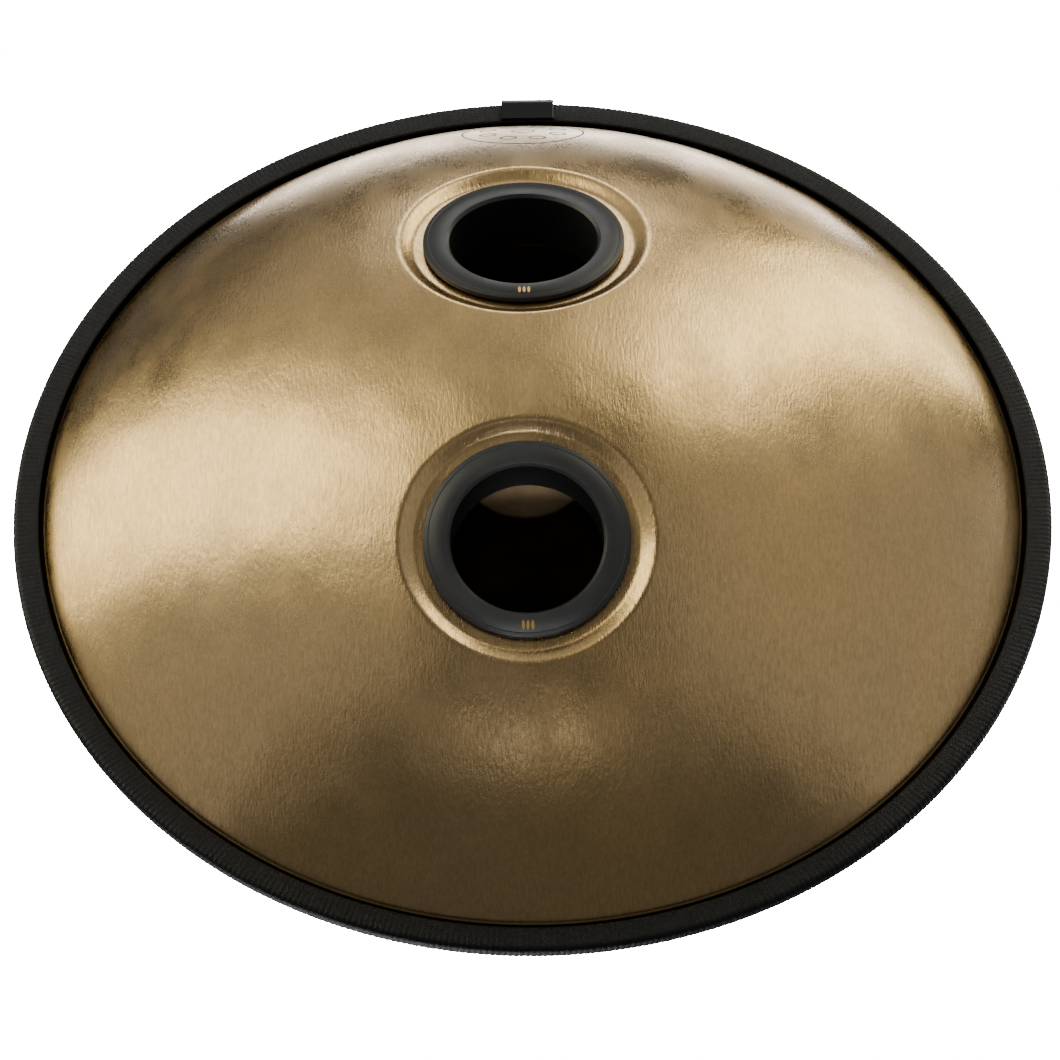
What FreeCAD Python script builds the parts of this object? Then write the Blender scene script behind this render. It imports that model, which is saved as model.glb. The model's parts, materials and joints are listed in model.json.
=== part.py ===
"""A handpan: two deep-drawn steel shells bonded at a flange, with an edge trim and two screw-in sound ports.

Row frame in millimetres: +Z points up through the ding, +Y points to the side of the trim's joint clip,
and the origin is the lowest point of the bottom shell, which the instrument rests on.
"""

import FreeCAD
import Part
import math
import os

Vector = FreeCAD.Vector

# ---- sheet and flange -------------------------------------------------------------------------
SHEET = 1.2                 # thickness of both steel shells
GLUE = 0.6                  # adhesive film between the two flanges
SHELL_RADIUS = 271.3        # outer edge of the flanges
GLUE_INSET = 0.8            # the adhesive stops this far inside the flange edge

# ---- dome, the same form for both shells --------------------------------------------------------
CROWN_RADIUS = 338.0        # spherical middle of the dome
CROWN_SHARE = 0.612         # share of the shell's radius that the crown takes up
FLANGE_WIDTH = 12.4         # from the flange's edge in to where the shoulder would meet it
ROOT_SLOPE = 56.0           # slope of the shoulder there, in degrees
ROOT_FILLET = 3.5           # hollow round between shoulder and flange

# ---- ding: the centre note of the top shell -----------------------------------------------------
DING_RADIUS = 92.0          # edge of the flattened centre
DING_PLATE_RADIUS = 1100.0  # very shallow curve of the flattened centre
DING_DOME_RADIUS = 41.0     # edge of the raised dome
DING_DOME_HEIGHT = 10.5     # how far it rises over the plate
DING_DOME_FILLET = 9.0      # hollow round at its foot

# ---- tone fields around the ding ----------------------------------------------------------------
FIELD_COUNT = 8
FIELD_RING_SHARE = 0.634    # share of the shell's radius at which the field centres lie
FIELD_START = -112.5        # azimuth of the largest field, in degrees
FIELD_SINK_LARGE = 5.6      # depth of the flattening at the largest field
FIELD_SINK_SMALL = 3.3      # and at the smallest
FIELD_BEND = 1150.0         # radius of a field's remaining bend along the meridian
DIMPLE_RADIUS_LARGE = 24.0  # edge of the dimple in the largest field
DIMPLE_RADIUS_SMALL = 17.0
DIMPLE_DEPTH = 4.2

# ---- sound ports in the bottom shell ------------------------------------------------------------
PORT_OFFSET = 98.0          # distance of each port centre from the axis
PORT_ASIDE = 3.0            # both ports lie this far to the +X side of the middle line
PORT_CREASE_WIDTH = 10.2    # from the flat seat out to where the shell starts to turn
PORT_CREASE_ROUND = 5.0     # outer radius of that turn
PORT_SEAT_MARGIN = 4.0      # the flat seat reaches this far past the ring
PORT_SEAT_ROUND = 5.0       # hollow round between seat and funnel
PORT_SINK = 10.2            # depth of the seat under the unpierced dome
PORT_HOLE_CLEARANCE = 3.0   # between the hole in the shell and the ring's tube

# ---- port ring: flange and threaded tube --------------------------------------------------------
RING_BORE = 39.0            # radius of the clear opening
RING_WIDTH = 13.8           # from the opening to the outside of the flange
RING_FLANGE = 3.4           # thickness of the flange
RING_BORE_CHAMFER = 1.6     # at the mouth
RING_EDGE_WIDTH = 2.6       # bevel round the face
RING_EDGE_DROP = 0.9        # how far the bevel falls
RING_EDGE_ROUND = 0.8       # round at the outside of the bevel
TUBE_WALL = 3.0             # wall of the tube at the root of its thread
TUBE_DEPTH = 32.0           # from the face to the inner end of the tube
TUBE_END_CHAMFER = 0.8
THREAD_GAP = 1.2            # room between tube and collar, which the thread fills
THREAD_PITCH = 3.0          # rise of the ring for one turn
THREAD_TURNS = 4            # turns of thread in the collar, which free the ring

# ---- gasket, collar and its bond ----------------------------------------------------------------
GASKET = 0.8                # thickness of the rubber washer under the flange
GASKET_INSET = 1.0          # it stops this far inside the flange edge
GASKET_BORE_CLEARANCE = 1.0 # between the gasket's hole and the tube
COLLAR_FLANGE = 3.0         # thickness of the collar's bonding flange
COLLAR_FLANGE_INSET = 1.0   # it stops this far inside the flat seat
COLLAR_WALL = 3.5
COLLAR_CHAMFER = 0.8
COLLAR_GLUE = 0.5           # adhesive film between collar and shell

# ---- edge trim ----------------------------------------------------------------------------------
TRIM_WALL = 3.5             # outside the flange's edge
TRIM_GRIP = 10.0            # the legs reach this far in over the flanges
TRIM_LEG = 3.0              # thickness of a leg
TRIM_ROUND = 3.2            # round at the outer corners
TRIM_LIP_ROUND = 1.2        # round at the legs' inner edges
TRIM_FIT = 0.2              # room between the flange's edge and the bottom of the channel
TRIM_SPLIT = 1.0            # gap between the trim's two ends
CORE = 0.6                  # thickness of the steel carrier in the trim
CORE_COVER = 1.0            # plastic between the carrier and the channel
CORE_INSET = 2.4            # the carrier stops this far from the legs' inner edges

# ---- joint clip ---------------------------------------------------------------------------------
CLIP_LENGTH = 29.0
CLIP_SHEET = 2.2
CLIP_CLEARANCE = 0.1        # between clip and trim
CLIP_LEG_SHORT = 0.2        # the legs stop this far short of the trim's inner edge
CLIP_EDGE_ROUND = 0.6

SAME = 1e-3                 # lengths closer than this count as equal

# ---- worked out from the above ------------------------------------------------------------------
FLANGE_TOP = GLUE / 2 + SHEET            # outer face of a flange, from the rim plane
CROWN_EDGE = CROWN_SHARE * SHELL_RADIUS  # distance from the axis where crown and shoulder meet
ROOT_RADIUS = SHELL_RADIUS - FLANGE_WIDTH
FIELD_RING = FIELD_RING_SHARE * SHELL_RADIUS
CROWN_SLOPE = math.asin(CROWN_EDGE / CROWN_RADIUS)
ROOT_ANGLE = math.radians(ROOT_SLOPE)
SHOULDER_RADIUS = (ROOT_RADIUS - CROWN_EDGE) / (math.sin(ROOT_ANGLE) - math.sin(CROWN_SLOPE))
SHOULDER_X = CROWN_EDGE - SHOULDER_RADIUS * math.sin(CROWN_SLOPE)
SHOULDER_Z = FLANGE_TOP - SHOULDER_RADIUS * math.cos(ROOT_ANGLE)
CROWN_Z = SHOULDER_Z - (CROWN_RADIUS - SHOULDER_RADIUS) * math.cos(CROWN_SLOPE)
DOME_HEIGHT = CROWN_Z + CROWN_RADIUS     # crest of the dome over the rim plane
RIM_Z = DOME_HEIGHT                      # the bottom shell's crest is at Z 0
TUBE_RADIUS = RING_BORE + TUBE_WALL
RING_RADIUS = RING_BORE + RING_WIDTH
PORT_HOLE = TUBE_RADIUS + PORT_HOLE_CLEARANCE
PORT_SEAT = RING_RADIUS + PORT_SEAT_MARGIN
PORT_CREASE = PORT_SEAT + PORT_CREASE_WIDTH
COLLAR_BORE = TUBE_RADIUS + THREAD_GAP
COLLAR_DEPTH = THREAD_TURNS * THREAD_PITCH + 2 * COLLAR_CHAMFER
PORT_TILT = math.asin(PORT_OFFSET / CROWN_RADIUS)
SEAT_LEVEL = CROWN_RADIUS - PORT_SINK    # levels along a port's axis, from the crown's centre
FACE_LEVEL = SEAT_LEVEL + GASKET + RING_FLANGE
TRIM_RADIUS = SHELL_RADIUS + TRIM_FIT + TRIM_WALL
TRIM_INNER = SHELL_RADIUS - TRIM_GRIP
TRIM_HEIGHT = 2 * (FLANGE_TOP + TRIM_LEG)
PORT_TURN = math.degrees(math.asin(PORT_ASIDE / PORT_OFFSET))
PORTS = {"front": -90.0 + PORT_TURN, "rear": 90.0 - PORT_TURN}  # azimuth of each port, in degrees


# ---- drawing helpers ----------------------------------------------------------------------------
def arc(centre, radius, start, end):
    """Arc in the XZ plane, by angles from +Z towards +X, in radians."""
    points = [
        Vector(centre[0] + radius * math.sin(a), 0, centre[1] + radius * math.cos(a))
        for a in (start, (start + end) / 2, end)
    ]
    return Part.Arc(*points).toShape()


def end_of(edge, last=True):
    """One end of an edge."""
    return edge.valueAt(edge.LastParameter if last else edge.FirstParameter)


def line(a, b):
    """Straight edge between two points of the XZ plane, given as vectors or (x, z)."""
    ends = [p if isinstance(p, Vector) else Vector(p[0], 0, p[1]) for p in (a, b)]
    return Part.makeLine(*ends)


def polygon(points):
    """Closed wire through (x, z) points."""
    corners = [Vector(x, 0, z) for x, z in points]
    return Part.makePolygon(corners + corners[:1])


def revolved(edges, angle=360.0):
    """Solid from a closed loop of edges in the XZ plane, turned about Z."""
    wire = edges if isinstance(edges, Part.Wire) else Part.Wire(edges)
    return Part.Face(wire).revolve(Vector(0, 0, 0), Vector(0, 0, 1), angle)


def one_solid(shape):
    """The single solid in a result, without split faces."""
    clean = shape.removeSplitter()
    if len(clean.Solids) != 1:
        raise ValueError(f"expected one solid and found {len(clean.Solids)}")
    return clean.Solids[0]


def fillet_edges(solid, radius, chosen):
    """Rounds the edges that chosen(edge) picks."""
    return solid.makeFillet(radius, [e for e in solid.Edges if chosen(e)])


# ---- the dome's section -------------------------------------------------------------------------
def fillet_centre():
    """Centre of the hollow round between shoulder and flange."""
    z = FLANGE_TOP + ROOT_FILLET
    reach = SHOULDER_RADIUS + ROOT_FILLET
    return SHOULDER_X + math.sqrt(reach ** 2 - (z - SHOULDER_Z) ** 2), z


def crown_arc(depth, start=0.0, end=CROWN_SLOPE):
    """The crown, this far under the outer surface."""
    return arc((0, CROWN_Z), CROWN_RADIUS - depth, start, end)


def flank(depth):
    """Shoulder, root round and flange, from the crown's edge outwards, this far under the outer surface."""
    x, z = fillet_centre()
    foot = math.atan2(x - SHOULDER_X, z - SHOULDER_Z)
    shoulder = arc((SHOULDER_X, SHOULDER_Z), SHOULDER_RADIUS - depth, CROWN_SLOPE, foot)
    root = arc((x, z), ROOT_FILLET + depth, math.pi + foot, math.pi)
    flange = line((x, FLANGE_TOP - depth), (SHELL_RADIUS, FLANGE_TOP - depth))
    return [shoulder, root, flange]


def sheet_of(outer, inner):
    """Solid of revolution between two chains of edges that both run from the axis outwards."""
    axis = line(end_of(inner[0], False), end_of(outer[0], False))
    rim = line(end_of(outer[-1]), end_of(inner[-1]))
    return revolved(outer + [rim] + inner[::-1] + [axis])


def plain_dome():
    """A shell with nothing formed in it."""
    chains = [[crown_arc(d)] + flank(d) for d in (0.0, SHEET)]
    return sheet_of(*chains)


# ---- top shell ----------------------------------------------------------------------------------
def ding_chain(depth):
    """Section of the ding from the axis to its edge, then the crown to its own edge."""
    edge_angle = math.asin(DING_RADIUS / CROWN_RADIUS)
    edge_z = CROWN_Z + CROWN_RADIUS * math.cos(edge_angle)
    plate_z = edge_z - math.sqrt(DING_PLATE_RADIUS ** 2 - DING_RADIUS ** 2)
    plate_top = plate_z + DING_PLATE_RADIUS
    rise = DING_DOME_HEIGHT
    dome_radius = (DING_DOME_RADIUS ** 2 + rise ** 2) / (2 * rise)
    dome_z = plate_top + rise - dome_radius
    outside = DING_PLATE_RADIUS + DING_DOME_FILLET       # the round lies on the plate
    reach = dome_radius + DING_DOME_FILLET               # and touches the dome
    gap = dome_z - plate_z
    along = (outside ** 2 - reach ** 2 + gap ** 2) / (2 * gap)
    x, z = math.sqrt(outside ** 2 - along ** 2), plate_z + along
    dome_end = math.atan2(x, z - dome_z)
    plate_start = math.atan2(x, z - plate_z)
    plate_radius = DING_PLATE_RADIUS - depth
    crown_radius = CROWN_RADIUS - depth
    offset = CROWN_Z - plate_z
    meet = (plate_radius ** 2 - crown_radius ** 2 + offset ** 2) / (2 * offset)
    plate_end = math.acos(meet / plate_radius)
    crown_start = math.acos((meet - offset) / crown_radius)
    return [
        arc((0, dome_z), dome_radius - depth, 0.0, dome_end),
        arc((x, z), DING_DOME_FILLET + depth, math.pi + dome_end, math.pi + plate_start),
        arc((0, plate_z), plate_radius, plate_start, plate_end),
        crown_arc(depth, crown_start),
    ]


def dome_point(distance):
    """Height, slope and centre of curvature of the outer surface at a distance from the axis."""
    if distance <= CROWN_EDGE:
        centre, radius = (0.0, CROWN_Z), CROWN_RADIUS
    else:
        centre, radius = (SHOULDER_X, SHOULDER_Z), SHOULDER_RADIUS
    slope = math.asin((distance - centre[0]) / radius)
    return centre[1] + radius * math.cos(slope), slope


def fields():
    """Azimuth and share of the size range of each tone field, from the largest, rising from side to side."""
    step = 360.0 / FIELD_COUNT
    for index in range(FIELD_COUNT):
        turn = (index + 1) // 2 * (1 if index % 2 else -1)
        share = 1.0 - index / (FIELD_COUNT - 1)
        yield FIELD_START + turn * step, share


def between(small, large, share):
    """A size between the smallest field's and the largest's."""
    return small + (large - small) * share


def field_tool(share, depth):
    """What a field removes from a body this far under the dome's surface, standing on the XY plane."""
    sink = between(FIELD_SINK_SMALL, FIELD_SINK_LARGE, share)
    reach = math.sqrt(2 * sink * CROWN_RADIUS * FIELD_BEND / (FIELD_BEND - CROWN_RADIUS)) + 2 * SHEET
    centre_z = -sink - FIELD_BEND
    radius = FIELD_BEND - depth
    half = math.asin(reach / radius)
    bend = arc((0, centre_z), radius, -half, half)
    top = 3 * SHEET
    sides = [
        line(end_of(bend), (reach, top)),
        line((reach, top), (-reach, top)),
        line((-reach, top), end_of(bend, False)),
    ]
    face = Part.Face(Part.Wire([bend] + sides))
    face.translate(Vector(0, -reach, 0))
    block = face.extrude(Vector(0, 2 * reach, 0))
    dimple = between(DIMPLE_RADIUS_SMALL, DIMPLE_RADIUS_LARGE, share)
    ball = (dimple ** 2 + DIMPLE_DEPTH ** 2) / (2 * DIMPLE_DEPTH)
    hollow = Part.makeSphere(ball + depth, Vector(0, 0, ball - sink - DIMPLE_DEPTH))
    cap = Part.makeBox(4 * dimple, 4 * dimple, 4 * DIMPLE_DEPTH + sink,
                       Vector(-2 * dimple, -2 * dimple, -3 * DIMPLE_DEPTH - sink))
    return block.fuse(hollow.common(cap))


def stand_on_dome(shape, distance, azimuth):
    """Moves a shape from the XY plane onto the outer surface, +X turned outwards along the meridian."""
    height, slope = dome_point(distance)
    placed = shape.copy()
    placed.rotate(Vector(0, 0, 0), Vector(0, 1, 0), math.degrees(slope))
    placed.translate(Vector(distance, 0, height))
    placed.rotate(Vector(0, 0, 0), Vector(0, 0, 1), azimuth)
    return placed


def room_under_dome():
    """The space that the plain dome's inner surface encloses, down to a plane above the root."""
    floor = FLANGE_TOP + ROOT_FILLET
    centre, radius = (SHOULDER_X, SHOULDER_Z), SHOULDER_RADIUS - SHEET
    low = math.acos((floor - centre[1]) / radius)
    shoulder = arc(centre, radius, CROWN_SLOPE, low)
    crown = crown_arc(SHEET)
    bottom = line(end_of(shoulder), (0, floor))
    return revolved([crown, shoulder, bottom, line((0, floor), end_of(crown, False))])


def top_shell():
    """Shell with the ding and the ring of tone fields, each with its dimple."""
    chains = [ding_chain(d) + flank(d) for d in (0.0, SHEET)]
    shell = sheet_of(*chains)
    room = room_under_dome()
    for azimuth, share in fields():
        outer, inner = (stand_on_dome(field_tool(share, d), FIELD_RING, azimuth) for d in (0.0, SHEET))
        membrane = inner.cut(outer).common(room)
        shell = shell.cut(outer).fuse(membrane)
    shell = one_solid(shell)
    shell.translate(Vector(0, 0, RIM_Z))
    return shell


# ---- bottom shell -------------------------------------------------------------------------------
def port_turn(depth):
    """Section of the crease, funnel and seat about the port's axis, heights from the crown's centre."""
    crease = math.asin(PORT_CREASE / CROWN_RADIUS)
    inside = CROWN_RADIUS - PORT_CREASE_ROUND
    high = (inside * math.sin(crease), inside * math.cos(crease))
    low = (PORT_SEAT, SEAT_LEVEL + PORT_SEAT_ROUND)
    across, up = high[0] - low[0], high[1] - low[1]
    apart = math.hypot(across, up)
    funnel = math.atan2(up, across) + math.asin((PORT_CREASE_ROUND + PORT_SEAT_ROUND) / apart)
    start = math.asin((PORT_CREASE + SHEET) / (CROWN_RADIUS - depth))
    return [
        arc((0, 0), CROWN_RADIUS - depth, start, crease),
        arc(high, PORT_CREASE_ROUND - depth, crease, -funnel),
        arc(low, PORT_SEAT_ROUND + depth, math.pi - funnel, math.pi),
        line((PORT_SEAT, SEAT_LEVEL - depth), (PORT_HOLE, SEAT_LEVEL - depth)),
    ]


def chained(edges):
    """The edges with a straight one added wherever two don't meet."""
    joined = [edges[0]]
    for edge in edges[1:]:
        a, b = end_of(joined[-1]), end_of(edge, False)
        if a.distanceToPoint(b) > SAME:
            joined.append(line(a, b))
        joined.append(edge)
    return joined


def port_frame(shape, azimuth):
    """Moves a shape from the port's own axis, with heights from the crown's centre, to its place."""
    placed = shape.copy()
    placed.rotate(Vector(0, 0, 0), Vector(0, 1, 0), 180.0 - math.degrees(PORT_TILT))
    placed.translate(Vector(0, 0, RIM_Z - CROWN_Z))
    placed.rotate(Vector(0, 0, 0), Vector(0, 0, 1), azimuth)
    return placed


def port_insert():
    """The formed part of the shell round a port."""
    outer, inner = (chained(port_turn(d)) for d in (0.0, SHEET))
    hole = line(end_of(outer[-1]), end_of(inner[-1]))
    rim = line(end_of(inner[0], False), end_of(outer[0], False))
    return revolved(outer + [hole] + inner[::-1] + [rim])


def bottom_shell():
    """Shell with two formed and pierced ports."""
    shell = plain_dome()
    shell.rotate(Vector(0, 0, 0), Vector(1, 0, 0), 180.0)
    shell.translate(Vector(0, 0, RIM_Z))
    foot = Vector(0, 0, CROWN_RADIUS - 3 * PORT_SINK)
    opening = Part.makeCylinder(PORT_CREASE + SHEET, 4 * PORT_SINK, foot)
    for azimuth in PORTS.values():
        shell = shell.cut(port_frame(opening, azimuth))
        shell = shell.fuse(port_frame(port_insert(), azimuth))
    return one_solid(shell)


# ---- port parts, drawn on the port's own axis ----------------------------------------------------
def port_ring():
    """Flange with a bevelled face, and the tube behind it."""
    face, end = FACE_LEVEL, FACE_LEVEL - TUBE_DEPTH
    back = FACE_LEVEL - RING_FLANGE
    bevel_foot = face - RING_EDGE_DROP
    ring = revolved(polygon([
        (RING_BORE, end + TUBE_END_CHAMFER),
        (RING_BORE, face - RING_BORE_CHAMFER),
        (RING_BORE + RING_BORE_CHAMFER, face),
        (RING_RADIUS - RING_EDGE_WIDTH, face),
        (RING_RADIUS, bevel_foot),
        (RING_RADIUS, back),
        (TUBE_RADIUS, back),
        (TUBE_RADIUS, end + TUBE_END_CHAMFER),
        (TUBE_RADIUS - TUBE_END_CHAMFER, end),
        (RING_BORE + TUBE_END_CHAMFER, end),
    ]))
    return fillet_edges(ring, RING_EDGE_ROUND, lambda e: is_circle_at(e, RING_RADIUS, bevel_foot))


def is_circle_at(edge, radius, height):
    """True for the round edge of that radius at that height."""
    box = edge.BoundBox
    return abs(box.XMax - radius) < SAME and abs(box.ZMin - height) < SAME and abs(box.ZMax - height) < SAME


def washer(inner, outer, low, thickness):
    """Flat ring on the port's axis."""
    return revolved(polygon([
        (inner, low), (outer, low), (outer, low + thickness), (inner, low + thickness),
    ]))


def port_gasket():
    """Rubber washer between the ring's flange and the seat."""
    return washer(TUBE_RADIUS + GASKET_BORE_CLEARANCE, RING_RADIUS - GASKET_INSET, SEAT_LEVEL, GASKET)


def collar_bond():
    """Adhesive film that holds the collar to the inside of the seat."""
    low = SEAT_LEVEL - SHEET - COLLAR_GLUE
    return washer(PORT_HOLE, PORT_SEAT - COLLAR_FLANGE_INSET, low, COLLAR_GLUE)


def port_collar():
    """Threaded collar inside the shell, which the ring screws into."""
    top = SEAT_LEVEL - SHEET - COLLAR_GLUE
    end = top - COLLAR_DEPTH
    outside = COLLAR_BORE + COLLAR_WALL
    return revolved(polygon([
        (COLLAR_BORE, end + COLLAR_CHAMFER),
        (COLLAR_BORE, top - COLLAR_CHAMFER),
        (COLLAR_BORE + COLLAR_CHAMFER, top),
        (PORT_SEAT - COLLAR_FLANGE_INSET, top),
        (PORT_SEAT - COLLAR_FLANGE_INSET, top - COLLAR_FLANGE),
        (outside, top - COLLAR_FLANGE),
        (outside, end + COLLAR_CHAMFER),
        (outside - COLLAR_CHAMFER, end),
        (COLLAR_BORE + COLLAR_CHAMFER, end),
    ]))


# ---- rim ----------------------------------------------------------------------------------------
def rim_adhesive():
    """Film of adhesive between the flanges."""
    inner = fillet_centre()[0]
    film = washer(inner, SHELL_RADIUS - GLUE_INSET, -GLUE / 2, GLUE)
    film.translate(Vector(0, 0, RIM_Z))
    return film


def split_ring(profile, gap):
    """Turns a face in the XZ plane about Z, open by this gap on the +Y side."""
    open_angle = math.degrees(gap / TRIM_RADIUS)
    ring = profile.revolve(Vector(0, 0, 0), Vector(0, 0, 1), 360.0 - open_angle)
    ring.rotate(Vector(0, 0, 0), Vector(0, 0, 1), 90.0 + open_angle / 2)
    ring.translate(Vector(0, 0, RIM_Z))
    return ring


def channel(outside, half_height, inner, wall, leg):
    """U-shaped face in the XZ plane, open towards the axis."""
    return Part.Face(polygon([
        (inner, half_height), (outside, half_height), (outside, -half_height), (inner, -half_height),
        (inner, -half_height + leg), (outside - wall, -half_height + leg),
        (outside - wall, half_height - leg), (inner, half_height - leg),
    ]))


def core_face():
    """Section of the steel carrier, which lies inside the plastic."""
    outside = TRIM_RADIUS - TRIM_WALL + CORE_COVER + CORE
    half = FLANGE_TOP + CORE_COVER + CORE
    return channel(outside, half, TRIM_INNER + CORE_INSET, CORE, CORE)


def rim_trim():
    """Plastic edge trim that grips the two flanges."""
    face = channel(TRIM_RADIUS, TRIM_HEIGHT / 2, TRIM_INNER, TRIM_WALL, TRIM_LEG)
    ring = split_ring(face, TRIM_SPLIT)
    for radius, place in ((TRIM_ROUND, TRIM_RADIUS), (TRIM_LIP_ROUND, TRIM_INNER)):
        ring = fillet_edges(ring, radius, lambda e: is_long_edge(e, place, TRIM_HEIGHT / 2))
    return ring.cut(trim_core()).Solids[0]


def is_long_edge(edge, radius, half_height):
    """True for the edge that runs round the rim at that radius, on either outer face of the trim."""
    point = edge.valueAt((edge.FirstParameter + edge.LastParameter) / 2)
    on_radius = abs(math.hypot(point.x, point.y) - radius) < SAME
    on_face = abs(abs(point.z - RIM_Z) - half_height) < SAME
    return on_radius and on_face and edge.Length > radius


def trim_core():
    """Steel carrier that makes the trim grip."""
    return split_ring(core_face(), TRIM_SPLIT + 2 * CORE_COVER)


def trim_joint_clip():
    """Folded sleeve over the trim's two ends, straight along the rim."""
    inside = TRIM_RADIUS + CLIP_CLEARANCE
    half = TRIM_HEIGHT / 2 + CLIP_CLEARANCE
    inner = TRIM_INNER + CLIP_LEG_SHORT
    face = channel(inside + CLIP_SHEET, half + CLIP_SHEET, inner, CLIP_SHEET, CLIP_SHEET)
    face.translate(Vector(0, -CLIP_LENGTH / 2, 0))
    clip = face.extrude(Vector(0, CLIP_LENGTH, 0))
    bends = {TRIM_ROUND + CLIP_CLEARANCE + CLIP_SHEET: (inside + CLIP_SHEET, half + CLIP_SHEET)}
    bends[TRIM_ROUND + CLIP_CLEARANCE] = (inside, half)
    for radius, (x, z) in bends.items():
        clip = fillet_edges(clip, radius, lambda e: is_fold(e, x, z))
    high, far = half + CLIP_SHEET, inside + CLIP_SHEET
    clip = fillet_edges(clip, CLIP_EDGE_ROUND, lambda e: is_outer_edge(e, high, far))
    clip.rotate(Vector(0, 0, 0), Vector(0, 0, 1), 90.0)
    clip.translate(Vector(0, 0, RIM_Z))
    return clip


def is_fold(edge, x, z):
    """True for a straight edge along Y at that X, on either side of the rim plane."""
    box = edge.BoundBox
    along = box.YLength > CLIP_LENGTH / 2
    return along and abs(box.XMin - x) < SAME and abs(box.XMax - x) < SAME and abs(abs(box.ZMin) - z) < SAME


def is_outer_edge(edge, z, x):
    """True for the edges at the clip's two ends that lie on its outside."""
    box = edge.BoundBox
    at_end = box.YLength < SAME
    flat_outside = box.ZLength < SAME and abs(abs(box.ZMin) - z) < SAME
    back_outside = box.XLength < SAME and abs(box.XMin - x) < SAME
    bend_outside = abs(box.XMax - x) < SAME and abs(max(abs(box.ZMin), abs(box.ZMax)) - z) < SAME
    return at_end and (flat_outside or back_outside or bend_outside)


# ---- everything ---------------------------------------------------------------------------------
def build():
    """Every sub-part by its node name."""
    made = {
        "top_shell": top_shell(),
        "bottom_shell": bottom_shell(),
        "rim_adhesive": rim_adhesive(),
        "rim_trim": rim_trim(),
        "trim_core": trim_core(),
        "trim_joint_clip": trim_joint_clip(),
    }
    own_axis = {
        "port_ring": port_ring(),
        "port_gasket": port_gasket(),
        "port_collar": port_collar(),
        "collar_bond": collar_bond(),
    }
    for side, azimuth in PORTS.items():
        for name, shape in own_axis.items():
            made[f"{side}_{name}"] = port_frame(shape, azimuth)
    return made


def main():
    os.makedirs("parts", exist_ok=True)
    for name, shape in build().items():
        if not shape.isValid():
            raise ValueError(f"{name} isn't a valid solid")
        shape.exportStep(f"parts/{name}.step")
        box = shape.BoundBox
        print(f"{name:20s} {shape.Volume / 1000:9.2f} cm3  Z {box.ZMin:8.3f} to {box.ZMax:8.3f}")
    print(f"rim plane at Z {RIM_Z:.3f}, shoulder radius {SHOULDER_RADIUS:.2f}")


main()
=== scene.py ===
"""Looks of the handpan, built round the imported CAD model.

Lengths below are in millimetres, the scene is in metres.
"""
import bpy
import json
import math
import numpy as np
from mathutils import Matrix, Vector


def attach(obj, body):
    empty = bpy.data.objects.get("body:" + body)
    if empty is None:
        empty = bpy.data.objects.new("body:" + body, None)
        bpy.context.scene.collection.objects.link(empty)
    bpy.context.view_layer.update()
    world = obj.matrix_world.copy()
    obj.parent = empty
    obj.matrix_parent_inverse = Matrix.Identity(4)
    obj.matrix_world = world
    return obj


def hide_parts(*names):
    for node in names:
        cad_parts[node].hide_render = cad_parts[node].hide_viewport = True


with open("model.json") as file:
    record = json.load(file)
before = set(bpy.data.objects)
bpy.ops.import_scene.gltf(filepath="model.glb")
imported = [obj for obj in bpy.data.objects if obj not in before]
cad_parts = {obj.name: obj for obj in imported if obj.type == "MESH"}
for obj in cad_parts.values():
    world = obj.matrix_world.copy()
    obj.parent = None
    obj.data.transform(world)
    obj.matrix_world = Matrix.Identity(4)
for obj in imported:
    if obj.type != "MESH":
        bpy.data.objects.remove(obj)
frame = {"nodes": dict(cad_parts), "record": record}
BODY_OF = {node: body for body, nodes in frame["record"]["behaviour"]["bodies"].items() for node in nodes}
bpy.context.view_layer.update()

MM = 0.001

# ---- sizes of the CAD model ---------------------------------------------------------------------
SHEET = 1.2
GLUE = 0.6
SHELL_RADIUS = 271.3
CROWN_RADIUS = 338.0
CROWN_EDGE = 0.612 * SHELL_RADIUS
ROOT_RADIUS = SHELL_RADIUS - 12.4
ROOT_ANGLE = math.radians(56.0)
ROOT_FILLET = 3.5
DING_RADIUS = 92.0
DING_PLATE_RADIUS = 1100.0
DING_DOME_RADIUS = 41.0
DING_DOME_HEIGHT = 10.5
FIELD_COUNT = 8
FIELD_RING = 0.634 * SHELL_RADIUS
FIELD_START = -112.5
FIELD_SINK = (3.3, 5.6)
FIELD_BEND = 1150.0
DIMPLE_RADIUS = (17.0, 24.0)
DIMPLE_DEPTH = 4.2
PORTS = {"front": -1.0, "rear": 1.0}      # side of each port along Y
PORT_OFFSET = 98.0
PORT_ASIDE = 3.0
PORT_CREASE = 67.0
PORT_CREASE_ROUND = 5.0
PORT_SEAT = 56.8
PORT_SEAT_ROUND = 5.0
PORT_SINK = 10.2
PORT_HOLE = 45.0
RING_BORE = 39.0
RING_RADIUS = 52.8
RING_FLANGE = 3.4
TUBE_RADIUS = 42.0
TUBE_DEPTH = 32.0
GASKET = 0.8
COLLAR_BORE = 43.2
COLLAR_WALL = 3.5
COLLAR_DEPTH = 13.6
COLLAR_FLANGE = 3.0
COLLAR_RADIUS = 55.8
COLLAR_GLUE = 0.5
THREAD_PITCH = 3.0
THREAD_HEIGHT = 1.0
TRIM_RADIUS = 275.0
TRIM_INNER = 261.3
TRIM_HEIGHT = 9.0
TRIM_CHANNEL = 271.5
TRIM_ROUND = 3.2
TRIM_LIP_ROUND = 1.2
TRIM_SPLIT = 1.0
RING_CHAMFER = 1.6
RING_BEVEL_DROP = 0.9
RING_BEVEL_ROUND = 0.7
TUBE_ROUND = 0.8
COLLAR_ROUND = 0.8

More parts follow.
